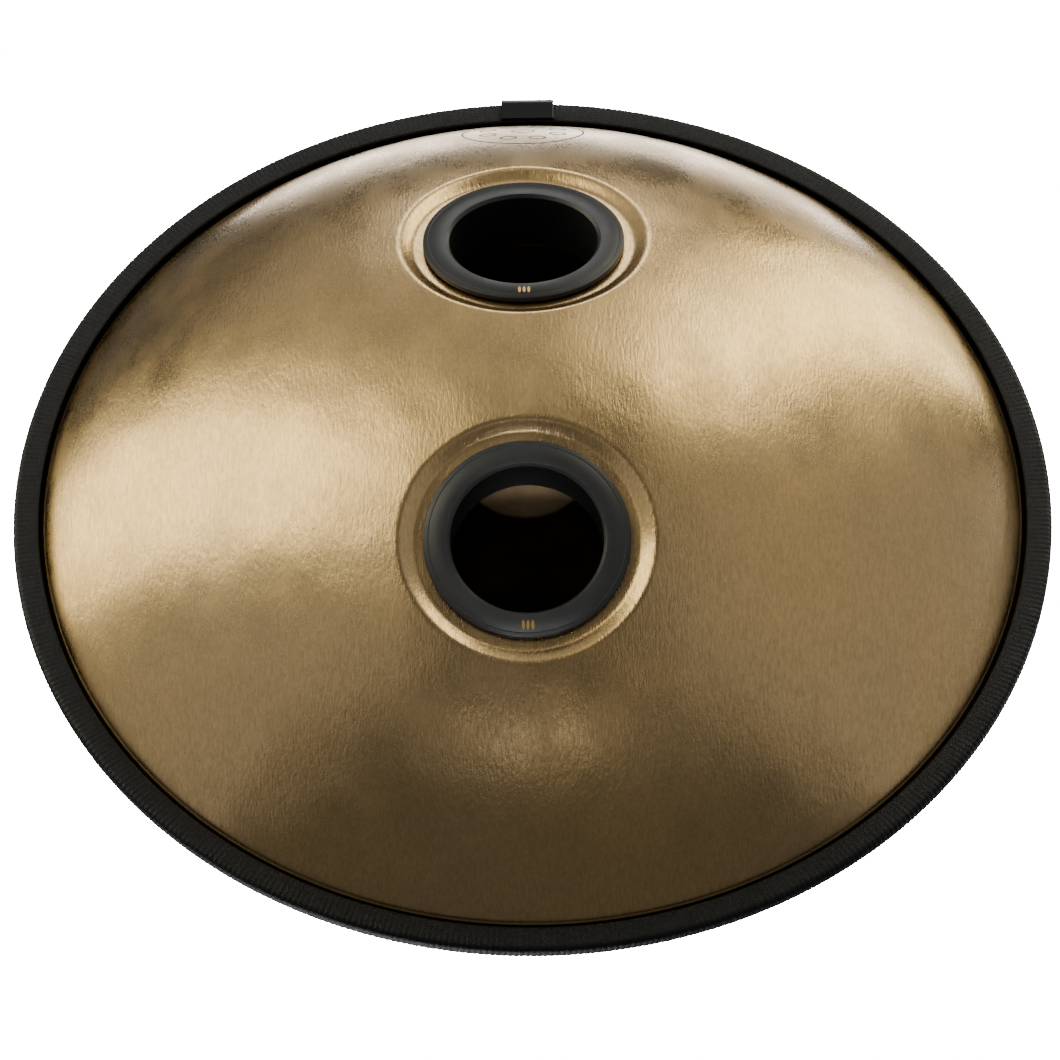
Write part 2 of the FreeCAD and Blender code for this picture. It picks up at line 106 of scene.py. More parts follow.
FLANGE_TOP = GLUE / 2 + SHEET
CROWN_SLOPE = math.asin(CROWN_EDGE / CROWN_RADIUS)
SHOULDER_RADIUS = (ROOT_RADIUS - CROWN_EDGE) / (math.sin(ROOT_ANGLE) - math.sin(CROWN_SLOPE))
SHOULDER_X = CROWN_EDGE - SHOULDER_RADIUS * math.sin(CROWN_SLOPE)
SHOULDER_Z = FLANGE_TOP - SHOULDER_RADIUS * math.cos(ROOT_ANGLE)
CROWN_Z = SHOULDER_Z - (CROWN_RADIUS - SHOULDER_RADIUS) * math.cos(CROWN_SLOPE)
RIM_Z = CROWN_Z + CROWN_RADIUS
PORT_TILT = math.asin(PORT_OFFSET / CROWN_RADIUS)
SEAT_LEVEL = CROWN_RADIUS - PORT_SINK
FACE_LEVEL = SEAT_LEVEL + GASKET + RING_FLANGE

# ---- sizes of the detail that only the visual copy has --------------------------------------------
AROUND = 640                # points round a shell
FIRST_ROW = 0.3             # distance of a shell's first row of points from the axis
ROW_STEP = 0.62             # between a shell's rows
ROOT_STEP = 0.2             # the same in the root round
INSIDE_STEP = 3             # the inside keeps every so many points
ROUND_POINTS = 24           # points along each round of a port's section
SEAT_POINTS = 120           # points from the seat's edge to the port's axis
HOLE_MARGIN = 0.4           # the shell reaches this far into the CAD model's hole
SEED = 7
WAVES = 46                  # sine waves in the sheet's unevenness
WAVE_LENGTHS = (22.0, 120.0)
WAVE_SLOPE = 0.0028         # slope of each
WAVE_FADE = 20.0            # width over which they fade out at the root
PLATE_BLEND = 0.5           # rounds where two surfaces of the top shell meet
DING_BLEND = 2.2
FIELD_BLEND = 0.5
DIMPLE_BLEND = 1.2
FIELD_REACH = 120.0         # a tone field changes nothing beyond this distance from its middle
UPRIGHT_STEP = 0.25         # between points added along an upright stretch of an outline
RIDGE_REACH = 0.30          # half of a thread ridge's foot, as a share of the pitch
RIDGE_FLANK = 0.14          # and its slope's share
THREAD_FADE = 1.2           # the thread rises from nothing over this length
THREAD_BOTTOM = -16.0       # lower end of a ring's thread, from the seat
THREAD_RELIEF = 2.0         # plain stretch between a ring's flange and its thread
COLLAR_RELIEF = 0.6         # the same at both ends of a collar
GROOVE_INSET = 2.75         # the fine groove's middle, in from the ring's edge
GROOVE_DEPTH = 0.14
MARK_RADIUS = RING_BORE + 7.0
MARK_PITCH = 2.4            # between the mark's dashes
MARK_HALF = (0.78, 2.6)     # half width and half length of a dash
MARK_POINTS = 24            # points round a dash
MARK_LIFT = 0.02            # above the ring's face
CHART_MIDDLE = (2.7, 217.0) # in plan
CHART_RADIUS = 33.0
CHART_RING = 20.5           # the ring of ovals
CHART_OVAL = (4.3, 3.4)     # half length and half width of an oval
CHART_CENTRE = (6.0, 5.0)   # the same of the middle one
CHART_TILT = 0.76           # foreshortening of the sloping shell in plan
CHART_LINE = 1.0            # line width
CHART_LIFT = 0.04           # the chart stands off the shell by this
RIB_PITCH = 3.0             # between the trim's cross ribs
RIB_DEPTH = 0.32
RIB_WEAKEST = 0.55          # share of that depth in the shallowest
RIB_REACH = 4.5             # the ribs start this far inside the trim's outer edge
RIB_RAMP = 1.5              # and reach their depth over this width
RIB_POINTS = 5              # points across a rib
CALM_BAND = (248.0, 251.5)  # the brushing grows calmer between these distances from the axis
CREASE_SHADE = 258.0         # painted shade darkens the steel to near black, and it is rougher, outside this distance from the axis

# ---- camera and light, in metres and degrees ------------------------------------------------------
CAMERA_LEAN = 35.2          # angle of the view off the upright
CAMERA_ROLL = -0.7
CAMERA_DISTANCE = 3.206     # from the middle of the rim plane
CAMERA_LEFT = 0.00128       # the camera stands this far left of that middle, as seen
CAMERA_DOWN = 0.0108        # and this far below it
CAMERA_LENS = 205.4
CAMERA_SENSOR = 36.0
BACKDROP = 14.0             # strength of the white that only the camera sees
AMBIENT = 0.07              # strength of the even light on everything
MIDDLE_HEIGHT = 0.1         # height that the panels aim at
LAMP_DISTANCE = 3.0
WARM = (1.0, 0.95, 0.72)
PORT_LAMP_POWER = 400.0
PORT_LAMP_ANGLE = 1.0       # full width of its beam


# ---- mesh helpers -------------------------------------------------------------------------------
def add_mesh(name, points, faces, material, node=None, body=None):
    """Object with these points in millimetres. It replaces a CAD node or rides on a body."""
    mesh = bpy.data.meshes.new(name)
    mesh.from_pydata((np.asarray(points) * MM).tolist(), [], [list(f) for f in faces])
    mesh.polygons.foreach_set("use_smooth", [True] * len(mesh.polygons))
    mesh.update()
    obj = bpy.data.objects.new(name, mesh)
    bpy.context.collection.objects.link(obj)
    mesh.materials.append(material)
    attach(obj, body or BODY_OF[node])
    if node:
        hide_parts(node)


def grid_faces(rows, columns, closed=True, loop_rows=False, first=0):
    """Quads of a grid of points stored row by row."""
    last_row = rows if loop_rows else rows - 1
    last_column = columns if closed else columns - 1
    r, c = np.meshgrid(np.arange(last_row), np.arange(last_column), indexing="ij")
    r, c = r.ravel(), c.ravel()
    r2, c2 = (r + 1) % rows, (c + 1) % columns
    quads = np.stack([r * columns + c, r * columns + c2, r2 * columns + c2, r2 * columns + c], axis=1)
    return quads + first


def rounded(corners, steps=5):
    """Points (radius, level) along a closed outline whose corners are (radius, level, round)."""
    points = []
    count = len(corners)
    for i, (x, z, size) in enumerate(corners):
        here = np.array([x, z])
        before = np.array(corners[i - 1][:2]) - here
        after = np.array(corners[(i + 1) % count][:2]) - here
        if size == 0:
            points.append(here)
            continue
        a, b = before / np.linalg.norm(before), after / np.linalg.norm(after)
        half = math.acos(np.clip(a @ b, -1, 1)) / 2
        reach = size / math.tan(half)
        middle = here + (a + b) / np.linalg.norm(a + b) * size / math.sin(half)
        start, end = here + a * reach - middle, here + b * reach - middle
        for t in np.linspace(0, 1, steps):
            mixed = start * (1 - t) + end * t
            points.append(middle + mixed / np.linalg.norm(mixed) * size)
    return np.array(points)


def spun(outline, around, open_angle=0.0, start=0.0):
    """Grid of points from an outline turned about Z, one row for each point of the outline."""
    if open_angle:
        turn = start + open_angle / 2 + np.linspace(0, 2 * math.pi - open_angle, around)
    else:
        turn = start + np.arange(around) * 2 * math.pi / around
    r, z = outline[:, 0][:, None], outline[:, 1][:, None]
    return np.stack([r * np.cos(turn), r * np.sin(turn), z + 0 * turn], axis=2), turn


def port_axis(sign):
    """Direction of a port from the crown's centre, with Z towards the crown."""
    turn = math.asin(PORT_ASIDE / PORT_OFFSET)
    out = math.sin(PORT_TILT)
    return np.array([out * math.sin(turn), sign * out * math.cos(turn), math.cos(PORT_TILT)])


def port_matrix(sign):
    """Turns the port's own frame, with levels from the crown's centre, into the object's frame."""
    axis = Vector(port_axis(sign))
    axis.z = -axis.z
    other = axis.cross(Vector((1, 0, 0))).normalized()
    across = other.cross(axis)
    turn = Matrix((across, other, axis)).transposed().to_4x4()
    return Matrix.Translation((0, 0, RIM_Z - CROWN_Z)) @ turn


def placed(points, matrix):
    """Points moved by a 4 x 4 matrix."""
    m = np.array(matrix)
    return points @ m[:3, :3].T + m[:3, 3]


# ---- the shells' surfaces -----------------------------------------------------------------------
def root_centre():
    """Centre of the hollow round between shoulder and flange."""
    z = FLANGE_TOP + ROOT_FILLET
    return SHOULDER_X + math.sqrt((SHOULDER_RADIUS + ROOT_FILLET) ** 2 - (z - SHOULDER_Z) ** 2), z


def dome_height(r):
    """Height of the plain dome over the rim plane at a distance from the axis."""
    x, z = root_centre()
    foot = x - ROOT_FILLET * (x - SHOULDER_X) / (SHOULDER_RADIUS + ROOT_FILLET)
    crown = CROWN_Z + np.sqrt(np.maximum(CROWN_RADIUS ** 2 - r ** 2, 0))
    shoulder = SHOULDER_Z + np.sqrt(np.maximum(SHOULDER_RADIUS ** 2 - (r - SHOULDER_X) ** 2, 0))
    root = z - np.sqrt(np.maximum(ROOT_FILLET ** 2 - (x - r) ** 2, 0))
    return np.select([r < CROWN_EDGE, r < foot, r < x], [crown, shoulder, root], FLANGE_TOP)


def soft_min(a, b, width):
    """The lower of two surfaces, with a round of about this width where they cross."""
    mix = np.clip(0.5 + 0.5 * (b - a) / width, 0, 1)
    return b * (1 - mix) + a * mix - width * mix * (1 - mix)


def uneven(x, y, seed):
    """Slight waviness of worked sheet."""
    rng = np.random.default_rng(seed)
    shortest, longest = WAVE_LENGTHS
    total = np.zeros_like(x)
    for _ in range(WAVES):
        length = shortest * (longest / shortest) ** rng.random()
        way, phase = rng.random(2) * 2 * math.pi
        turn = (x * math.cos(way) + y * math.sin(way)) * 2 * math.pi / length + phase
        total += WAVE_SLOPE * length / (2 * math.pi) * np.sin(turn)
    return total


def shell_rows():
    """Distances from the axis of a shell's rows of points."""
    bend = root_centre()[0] - 2 * ROOT_FILLET
    dome = np.linspace(FIRST_ROW, bend, int(bend / ROW_STEP))
    root = np.arange(bend + ROOT_STEP, root_centre()[0] + 2 * ROOT_STEP, ROOT_STEP)
    return np.concatenate([dome, root, [SHELL_RADIUS - 5, SHELL_RADIUS]])


def polar_points():
    """Plan positions of a shell's grid."""
    turn = np.arange(AROUND) * 2 * math.pi / AROUND
    rows = shell_rows()[:, None]
    return rows * np.cos(turn), rows * np.sin(turn)


def port_form():
    """Angle off the port's axis and change of distance from the crown's centre, along the port's section."""
    crease = math.asin(PORT_CREASE / CROWN_RADIUS)
    inside = CROWN_RADIUS - PORT_CREASE_ROUND
    high = np.array([inside * math.sin(crease), inside * math.cos(crease)])
    low = np.array([PORT_SEAT, SEAT_LEVEL + PORT_SEAT_ROUND])
    across, up = high - low
    reach = (PORT_CREASE_ROUND + PORT_SEAT_ROUND) / math.hypot(across, up)
    funnel = math.atan2(up, across) + math.asin(reach)
    points = []
    for a in np.linspace(crease, -funnel, ROUND_POINTS):
        points.append(high + PORT_CREASE_ROUND * np.array([math.sin(a), math.cos(a)]))
    for a in np.linspace(math.pi - funnel, math.pi, ROUND_POINTS):
        points.append(low + PORT_SEAT_ROUND * np.array([math.sin(a), math.cos(a)]))
    for r in np.linspace(PORT_SEAT, 0, SEAT_POINTS)[1:]:
        points.append(np.array([r, SEAT_LEVEL]))
    points = np.array(points)[::-1]
    angle = np.arctan2(points[:, 0], points[:, 1])
    return angle, np.hypot(points[:, 0], points[:, 1]) - CROWN_RADIUS


def bottom_surface(x, y):
    """Outer surface of the bottom shell at plan positions, and each point's distance from a port's axis."""
    r = np.hypot(x, y)
    z = dome_height(r) + uneven(x, y, SEED) * np.clip((ROOT_RADIUS - r) / WAVE_FADE, 0, 1)
    out = np.stack([x, y, z - CROWN_Z], axis=-1)
    far = np.linalg.norm(out, axis=-1)
    out = out / far[..., None]
    angles, change = port_form()
    near = np.full_like(x, 1e6)
    for sign in PORTS.values():
        off = np.arccos(np.clip(out @ port_axis(sign), -1, 1))
        far = far + np.interp(off, angles, change, right=0.0)
        near = np.minimum(near, far * np.sin(off))
    points = out * far[..., None]
    points[..., 2] = RIM_Z - CROWN_Z - points[..., 2]
    return points, near


def ding_height(r):
    """Height of the plain top dome with its flattened centre and raised ding."""
    edge = CROWN_Z + math.sqrt(CROWN_RADIUS ** 2 - DING_RADIUS ** 2)
    plate_z = edge - math.sqrt(DING_PLATE_RADIUS ** 2 - DING_RADIUS ** 2)
    plate = plate_z + np.sqrt(np.maximum(DING_PLATE_RADIUS ** 2 - r ** 2, 0))
    ball = (DING_DOME_RADIUS ** 2 + DING_DOME_HEIGHT ** 2) / (2 * DING_DOME_HEIGHT)
    top = plate_z + DING_PLATE_RADIUS + DING_DOME_HEIGHT
    dome = top - ball + np.sqrt(np.maximum(ball ** 2 - np.minimum(r, ball) ** 2, 0))
    flattened = soft_min(dome_height(r), plate, PLATE_BLEND)
    return np.where(r < DING_RADIUS, -soft_min(-flattened, -dome, DING_BLEND), flattened)


def fields():
    """Azimuth and share of the size range of each tone field."""
    for index in range(FIELD_COUNT):
        turn = (index + 1) // 2 * (1 if index % 2 else -1)
        yield math.radians(FIELD_START + turn * 360.0 / FIELD_COUNT), 1.0 - index / (FIELD_COUNT - 1)


def between(sizes, share):
    """A size between the smallest field's and the largest's."""
    return sizes[0] + (sizes[1] - sizes[0]) * share


def top_surface(x, y):
    """Outer surface of the top shell at plan positions."""
    r = np.hypot(x, y)
    calm = np.clip((ROOT_RADIUS - r) / WAVE_FADE, 0, 1) * np.clip(r / DING_DOME_RADIUS, 0, 1)
    z = ding_height(r) + uneven(x, y, SEED + 1) * calm
    points = np.stack([x, y, z], axis=-1)
    slope = math.asin((FIELD_RING - SHOULDER_X) / SHOULDER_RADIUS)
    height = SHOULDER_Z + SHOULDER_RADIUS * math.cos(slope)
    for turn, share in fields():
        outward = np.array([math.cos(turn), math.sin(turn), 0])
        middle = outward * FIELD_RING + [0, 0, height]
        normal = outward * math.sin(slope) + [0, 0, math.cos(slope)]
        along = outward * math.cos(slope) - [0, 0, math.sin(slope)]
        side = np.cross(normal, along)
        place = points - middle
        u, v, w = place @ along, place @ side, place @ normal
        sink, dimple = between(FIELD_SINK, share), between(DIMPLE_RADIUS, share)
        ball = (dimple ** 2 + DIMPLE_DEPTH ** 2) / (2 * DIMPLE_DEPTH)
        flat = -sink - FIELD_BEND + np.sqrt(np.maximum(FIELD_BEND ** 2 - u ** 2, 0))
        off = np.hypot(u, v)
        rim = np.minimum(off, 0.9 * ball)
        hollow = -sink - DIMPLE_DEPTH + ball - np.sqrt(ball ** 2 - rim ** 2)
        pressed = soft_min(soft_min(w, flat, FIELD_BLEND), hollow, DIMPLE_BLEND)
        points = points + ((pressed - w) * (off < FIELD_REACH))[..., None] * normal
    points[..., 2] += RIM_Z
    return points


def normals_of(points):
    """Unit normals of a polar grid, on the side that turns outwards from rows to columns."""
    down = np.gradient(points, axis=0)
    along = np.roll(points, -1, axis=1) - np.roll(points, 1, axis=1)
    normal = np.cross(down, along)
    return normal / np.linalg.norm(normal, axis=-1)[..., None]


def skin(points, keep, outwards):
    """Points and faces of one side of a shell. outwards tells which way the faces look."""
    rows, columns = points.shape[:2]
    quads = grid_faces(rows, columns)
    if keep is not None:
        quads = quads[keep.ravel()[quads].all(axis=1)]
    flat = np.concatenate([points.reshape(-1, 3), points[0].mean(axis=0)[None]])
    centre = rows * columns
    fan = [(centre, (c + 1) % columns, c) for c in range(columns)]
    faces = quads.tolist() + fan
    if outwards:
        faces = [f[::-1] for f in faces]
    return flat, faces


def shell(name, points, keep, upwards, outside, inside):
    """A shell's outer and inner surface as two objects."""
    add_mesh(name + "_outside", *skin(points, keep, upwards), outside, node=name)
    coarse = points[::INSIDE_STEP, ::INSIDE_STEP]
    normal = normals_of(points)[::INSIDE_STEP, ::INSIDE_STEP] * (1 if upwards else -1)
    kept = None if keep is None else keep[::INSIDE_STEP, ::INSIDE_STEP]
    inner = coarse - normal * SHEET
    add_mesh(name + "_inside", *skin(inner, kept, not upwards), inside, body="shell")


def add_uv(obj):
    """Plan positions as the UV map, so that the brushing runs along Y."""
    mesh = obj.data
    layer = mesh.uv_layers.new(name="plan")
    corners = np.empty(len(mesh.loops), dtype=np.int32)
    mesh.loops.foreach_get("vertex_index", corners)
    places = np.empty(len(mesh.vertices) * 3)
    mesh.vertices.foreach_get("co", places)
    layer.data.foreach_set("uv", places.reshape(-1, 3)[corners][:, :2].ravel())


# ---- materials ----------------------------------------------------------------------------------
class Nodes:
    """Short way to write a node tree."""

    def __init__(self, name):
        self.material = bpy.data.materials.new(name)
        self.material.use_nodes = True
        self.tree = self.material.node_tree
        self.shader = self.tree.nodes["Principled BSDF"]
        self.object = self.tree.nodes.new("ShaderNodeTexCoord").outputs["Object"]

    def link(self, source, socket):
        self.tree.links.new(source, socket)

    def put(self, socket, value):
        """Sets a socket to a constant or links it."""
        if isinstance(value, bpy.types.NodeSocket):
            self.link(value, socket)
        else:
            socket.default_value = value

    def stretched(self, scale):
        """Object coordinates scaled along each axis."""
        node = self.tree.nodes.new("ShaderNodeMapping")
        node.inputs["Scale"].default_value = scale
        self.link(self.object, node.inputs["Vector"])
        return node.outputs["Vector"]

    def noise(self, vector, scale, detail=3.0, rough=0.55, distortion=0.0):
        node = self.tree.nodes.new("ShaderNodeTexNoise")
        self.link(vector, node.inputs["Vector"])
        node.inputs["Scale"].default_value = scale
        node.inputs["Detail"].default_value = detail
        node.inputs["Roughness"].default_value = rough
        node.inputs["Distortion"].default_value = distortion
        return node.outputs["Fac"]

    def cells(self, vector, scale, feature="F1"):
        node = self.tree.nodes.new("ShaderNodeTexVoronoi")
        node.feature = feature
        self.link(vector, node.inputs["Vector"])
        node.inputs["Scale"].default_value = scale
        return node.outputs["Distance"]

    def fit(self, value, low, high, to_low=0.0, to_high=1.0):
        node = self.tree.nodes.new("ShaderNodeMapRange")
        self.put(node.inputs["Value"], value)
        self.put(node.inputs["From Min"], low)
        self.put(node.inputs["From Max"], high)
        self.put(node.inputs["To Min"], to_low)
        self.put(node.inputs["To Max"], to_high)
        return node.outputs["Result"]

    def math(self, operation, a, b=0.0):
        node = self.tree.nodes.new("ShaderNodeMath")
        node.operation = operation
        self.put(node.inputs[0], a)
        self.put(node.inputs[1], b)
        return node.outputs[0]

    def mix(self, share, a, b):
        node = self.tree.nodes.new("ShaderNodeMix")
        node.data_type = "RGBA"
        self.put(node.inputs["Factor"], share)
        self.put(node.inputs["A"], a)
        self.put(node.inputs["B"], b)
        return node.outputs["Result"]

    def split(self, vector):
        node = self.tree.nodes.new("ShaderNodeSeparateXYZ")
        self.link(vector, node.inputs[0])
        return node.outputs

    def bump(self, height, distance, strength=1.0, under=None):
        node = self.tree.nodes.new("ShaderNodeBump")
        self.put(node.inputs["Height"], height)
        node.inputs["Distance"].default_value = distance
        node.inputs["Strength"].default_value = strength
        if under is not None:
            self.link(under, node.inputs["Normal"])
        return node.outputs["Normal"]

    def tangent(self, uv):
        node = self.tree.nodes.new("ShaderNodeTangent")
        node.direction_type = "UV_MAP"
        node.uv_map = uv
        return node.outputs["Tangent"]

    def set(self, **values):
        for name, value in values.items():
            self.put(self.shader.inputs[name.replace("_", " ")], value)


def brushed_gold(name, base, dark, tint):
    """Brushed and heat-tinted steel, rougher and darkened by painted shade in the crease by the rim."""
    n = Nodes(name)
    streak = n.noise(n.stretched((1, 0.18, 0.3)), 820.0, 3.0, 0.62)
    long_streak = n.noise(n.stretched((1, 0.05, 0.1)), 480.0, 3.0, 0.6)
    grain = n.noise(n.stretched((1, 0.5, 0.7)), 620.0, 3.0, 0.62, 0.3)
    cloud = n.noise(n.stretched((1, 0.8, 1)), 9.0, 3.0, 0.55, 0.4)
    patch = n.noise(n.stretched((1, 0.7, 1)), 30.0, 4.0, 0.6)
    colour = n.mix(n.fit(cloud, 0.3, 0.7), base, tint)
    worn = n.fit(n.math("ADD", n.math("MULTIPLY", streak, 0.6), n.math("MULTIPLY", grain, 0.4)), 0.40, 0.62)
    colour = n.mix(n.math("MULTIPLY", worn, 0.34), colour, dark)
    place = n.split(n.object)
    squares = n.math("ADD", n.math("MULTIPLY", place[0], place[0]), n.math("MULTIPLY", place[1], place[1]))
    outward = n.math("SQRT", squares)
    # painted shade: the steel turns near black, and rougher, in the crease by the trim's lip
    crease_shade_and_rough = n.fit(outward, CREASE_SHADE * MM, (CREASE_SHADE + 1.0) * MM)
    colour = n.mix(crease_shade_and_rough, colour, (0.012, 0.010, 0.008, 1))
    rough = n.fit(n.math("ADD", n.math("MULTIPLY", streak, 0.5), patch), 0.6, 0.95, 0.24, 0.36)
    rough = n.math("ADD", rough, n.math("MULTIPLY", crease_shade_and_rough, 0.4))
    calm = n.fit(outward, CALM_BAND[0] * MM, CALM_BAND[1] * MM, 1.0, 0.35)
    relief = n.fit(patch, 0.3, 0.7, 0.45, 0.95)
    height = n.math("ADD", n.math("MULTIPLY", streak, 0.8), n.math("MULTIPLY", grain, relief))
    height = n.math("MULTIPLY", height, calm)
    normal = n.bump(height, 0.00018, 1.0)
    normal = n.bump(long_streak, 0.00004, 0.7, normal)
    n.set(Base_Color=colour, Metallic=1.0, Roughness=rough, Normal=normal)
    n.set(Anisotropic=0.35, Tangent=n.tangent("plan"))
    return n.material


def satin(name, colour, rough, grain_size, grain_height, coat=0.0, shine=0.5):
    """Black moulded plastic or rubber."""
    n = Nodes(name)
    fine = n.noise(n.object, grain_size, 3.0, 0.6)
    smudge = n.noise(n.object, 45.0, 3.0, 0.55)
    n.set(Base_Color=colour, Roughness=n.fit(smudge, 0.3, 0.7, rough * 0.85, rough * 1.15))
    n.set(Normal=n.bump(fine, grain_height), Coat_Weight=coat, Specular_IOR_Level=shine)
    return n.material


def leather(name, colour):
    """Black plastic with a pressed leather grain."""
    n = Nodes(name)
    cells = n.cells(n.object, 900.0, "DISTANCE_TO_EDGE")
    pits = n.noise(n.object, 1500.0, 3.0, 0.65)
    smudge = n.noise(n.object, 60.0, 3.0, 0.6)
    worn = n.fit(pits, 0.60, 0.74)
    normal = n.bump(n.fit(cells, 0.0, 0.35), 0.00014, 0.9)
    normal = n.bump(pits, 0.00016, 0.9, normal)
    n.set(Base_Color=n.mix(worn, colour, (0.05, 0.05, 0.052, 1)), Normal=normal)
    n.set(Roughness=n.fit(smudge, 0.3, 0.7, 0.34, 0.46), Specular_IOR_Level=0.42)
    return n.material


def plain_metal(name, colour, rough):
    """Stained steel inside the instrument: unfinished steel for the carrier, and for the shells' inside the
    gold steel made darker as painted shade.
    """
    n = Nodes(name)
    stain = n.noise(n.object, 25.0, 4.0, 0.6)
    dark = tuple(0.55 * c for c in colour[:3]) + (1.0,)
    n.set(Base_Color=n.mix(n.fit(stain, 0.35, 0.65), colour, dark), Metallic=1.0)
    n.set(Roughness=n.fit(stain, 0.3, 0.7, rough, rough + 0.15))
    return n.material


def gold_print(name):
    """Gold foil print."""
    n = Nodes(name)
    speck = n.noise(n.object, 3000.0, 2.0, 0.5)
    n.set(Base_Color=n.mix(speck, (0.50, 0.33, 0.11, 1), (0.62, 0.43, 0.17, 1)))
    n.set(Metallic=0.85, Roughness=0.42)
    return n.material


def etched(name):
    """Darkened steel where the chart is etched."""
    n = Nodes(name)
    speck = n.noise(n.object, 2500.0, 2.0, 0.5)
    n.set(Base_Color=n.mix(speck, (0.05, 0.038, 0.022, 1), (0.12, 0.09, 0.05, 1)))
    n.set(Metallic=0.6, Roughness=0.55)
    return n.material


# ---- pieces -------------------------------------------------------------------------------------
def build_shells(outside, inside):
    """Both shells."""
    x, y = polar_points()
    bottom, near = bottom_surface(x, y)
    keep = near > PORT_HOLE - HOLE_MARGIN
    shell("bottom_shell", bottom, keep, False, outside, inside)
    shell("top_shell", top_surface(x, y), None, True, outside, inside)
    for name in ("bottom_shell_outside", "top_shell_outside"):
        add_uv(bpy.data.objects[name])


def thread(level, turn, low, high, lead):
    """Share of the thread's height at a level and angle. lead shifts it by that share of the pitch."""
    place = (level / THREAD_PITCH - turn / (2 * math.pi) - lead) % 1.0
    ridge = np.clip((RIDGE_REACH - np.abs(place - 0.5)) / RIDGE_FLANK, 0, 1)
    fade = np.clip((level - low) / THREAD_FADE, 0, 1) * np.clip((high - level) / THREAD_FADE, 0, 1)
    return ridge * fade


def spin_part(name, outline, material, sign, node, around=192, work=None):
    """A turned part on a port's axis, its outline's levels counted from the seat."""
    points, turn = spun(outline, around)
    if work is not None:
        points[..., :2] *= (1 + work(outline, turn) / outline[:, 0][:, None])[..., None]
    points[..., 2] += SEAT_LEVEL
    rows, columns = points.shape[:2]
    faces = grid_faces(rows, columns, loop_rows=True)
    add_mesh(name, placed(points.reshape(-1, 3), port_matrix(sign)), faces, material, node=node)


def dense(outline):
    """The outline with points added along its long upright stretches."""
    points = []
    for a, b in zip(outline, np.roll(outline, -1, axis=0)):
        points.append(a)
        if abs(a[0] - b[0]) < 0.01 and abs(a[1] - b[1]) > 2:
            count = int(abs(a[1] - b[1]) / UPRIGHT_STEP)
            points += [a + (b - a) * t for t in np.linspace(0, 1, count + 1)[1:-1]]
    return np.array(points)


def build_ring(side, sign, material):
    """Port ring with its bevel, the fine groove inside it and the thread on its tube."""
    back = GASKET
    face = GASKET + RING_FLANGE
    end = face - TUBE_DEPTH
    groove = RING_RADIUS - GROOVE_INSET
    outline = rounded([
        (RING_BORE, end, 0.6),
        (RING_BORE, face - RING_CHAMFER, 0.25),
        (RING_BORE + RING_CHAMFER, face, 0.3),
        (groove - 0.25, face, 0.0),
        (groove - 0.1, face - GROOVE_DEPTH, 0.0),
        (groove + 0.1, face - GROOVE_DEPTH, 0.0),
        (groove + 0.25, face - 0.02, 0.15),
        (RING_RADIUS, face - RING_BEVEL_DROP, RING_BEVEL_ROUND),
        (RING_RADIUS, back, 0.3),
        (TUBE_RADIUS, back, 0.0),
        (TUBE_RADIUS, end, TUBE_ROUND),
    ])
    outline = dense(outline)

    def work(points, turn):
        level = points[:, 1][:, None]
        outside = (points[:, 0] > TUBE_RADIUS - 0.3)[:, None] & (level < back - 0.3)
        return THREAD_HEIGHT * thread(level, turn, THREAD_BOTTOM, back - THREAD_RELIEF, 0.0) * outside

    spin_part(f"{side}_ring_part", outline, material, sign, f"{side}_port_ring", 256, work)


def build_gasket(side, sign, material):
    """Rubber washer with a slight bulge at its outer edge."""
    outline = rounded([
        (TUBE_RADIUS + 1.0, 0.0, 0.2),
        (TUBE_RADIUS + 1.0, GASKET, 0.2),
        (RING_RADIUS - 1.0, GASKET, 0.5),
        (RING_RADIUS - 1.0, 0.0, 0.5),
    ])
    spin_part(f"{side}_gasket_part", outline, material, sign, f"{side}_port_gasket")


def build_collar(side, sign, material):
    """Collar with the thread that the ring screws into."""
    top = -SHEET - COLLAR_GLUE
    end = top - COLLAR_DEPTH
    outside = COLLAR_BORE + COLLAR_WALL
    outline = dense(rounded([
        (COLLAR_BORE, end, COLLAR_ROUND),
        (COLLAR_BORE, top, COLLAR_ROUND),
        (COLLAR_RADIUS, top, COLLAR_ROUND / 2),
        (COLLAR_RADIUS, top - COLLAR_FLANGE, COLLAR_ROUND),
        (outside, top - COLLAR_FLANGE, COLLAR_ROUND),
        (outside, end, COLLAR_ROUND),
    ]))

    def work(points, turn):
        level = points[:, 1][:, None]
        bore = (points[:, 0] < COLLAR_BORE + 0.1)[:, None]
        ridges = thread(level, turn, end + COLLAR_RELIEF, top - COLLAR_RELIEF, 0.5)
        return -THREAD_HEIGHT * ridges * bore

    spin_part(f"{side}_collar_part", outline, material, sign, f"{side}_port_collar", 256, work)


def build_mark(side, sign, material):
    """A small printed sign on the ring's face: three upright dashes."""
    level = FACE_LEVEL + MARK_LIFT
    wide, tall = MARK_HALF
    points, faces = [], []
    for x in (-MARK_PITCH, 0.0, MARK_PITCH):
        first = len(points)
        for t in np.linspace(0, 2 * math.pi, MARK_POINTS + 1)[:-1]:
            points.append((x + wide * math.cos(t), MARK_RADIUS + tall * math.sin(t), level))
        faces.append(list(range(first, len(points))))
    places = placed(np.array(points), port_matrix(sign))
    add_mesh(f"{side}_ring_mark", places, faces, material, body=f"{side}_ring")


